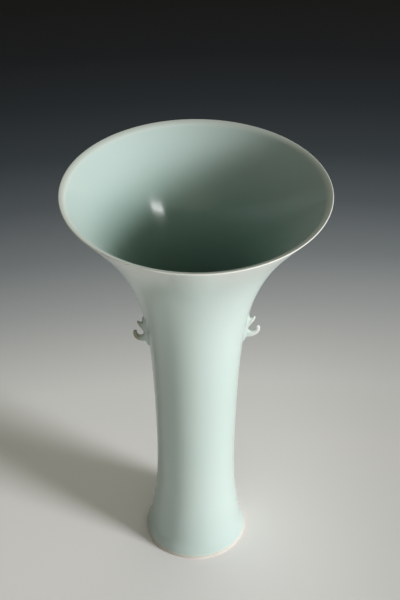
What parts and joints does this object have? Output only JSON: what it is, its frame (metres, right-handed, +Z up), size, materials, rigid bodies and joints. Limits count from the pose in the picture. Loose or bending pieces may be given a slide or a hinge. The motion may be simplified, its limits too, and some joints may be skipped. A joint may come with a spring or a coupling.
{
  "type": "porcelain vase",
  "caption": "Tall slim-waisted celadon porcelain vase with a wide thin-lipped trumpet mouth, a spreading foot and small scrolled lugs on the neck.",
  "frame": {"origin": "centre of the foot rim's underside, on the surface the vase stands on", "axes": "+Z up along the vase's axis of turning; the lugs lie on the X axis, the right lug towards +X and the left towards -X; -Y towards the viewer"},
  "size_m": [0.2532, 0.2532, 0.4494],
  "materials": {
    "celadon_glaze": "glossy pale blue-green celadon glaze over white porcelain, thinner and creamier on the lip",
    "bare_clay": "unglazed fired clay, matt, flushed pinkish orange"
  },
  "bodies": {
    "root": {"trumpet_section": "celadon_glaze", "column_section": "celadon_glaze", "foot_section": "celadon_glaze", "base_slab": "celadon_glaze", "foot_rim": "bare_clay", "right_lug_root": "celadon_glaze", "right_lug_hook": "celadon_glaze", "right_lug_horn": "celadon_glaze", "left_lug_root": "celadon_glaze", "left_lug_hook": "celadon_glaze", "left_lug_horn": "celadon_glaze"}
  },
  "joints": []
}
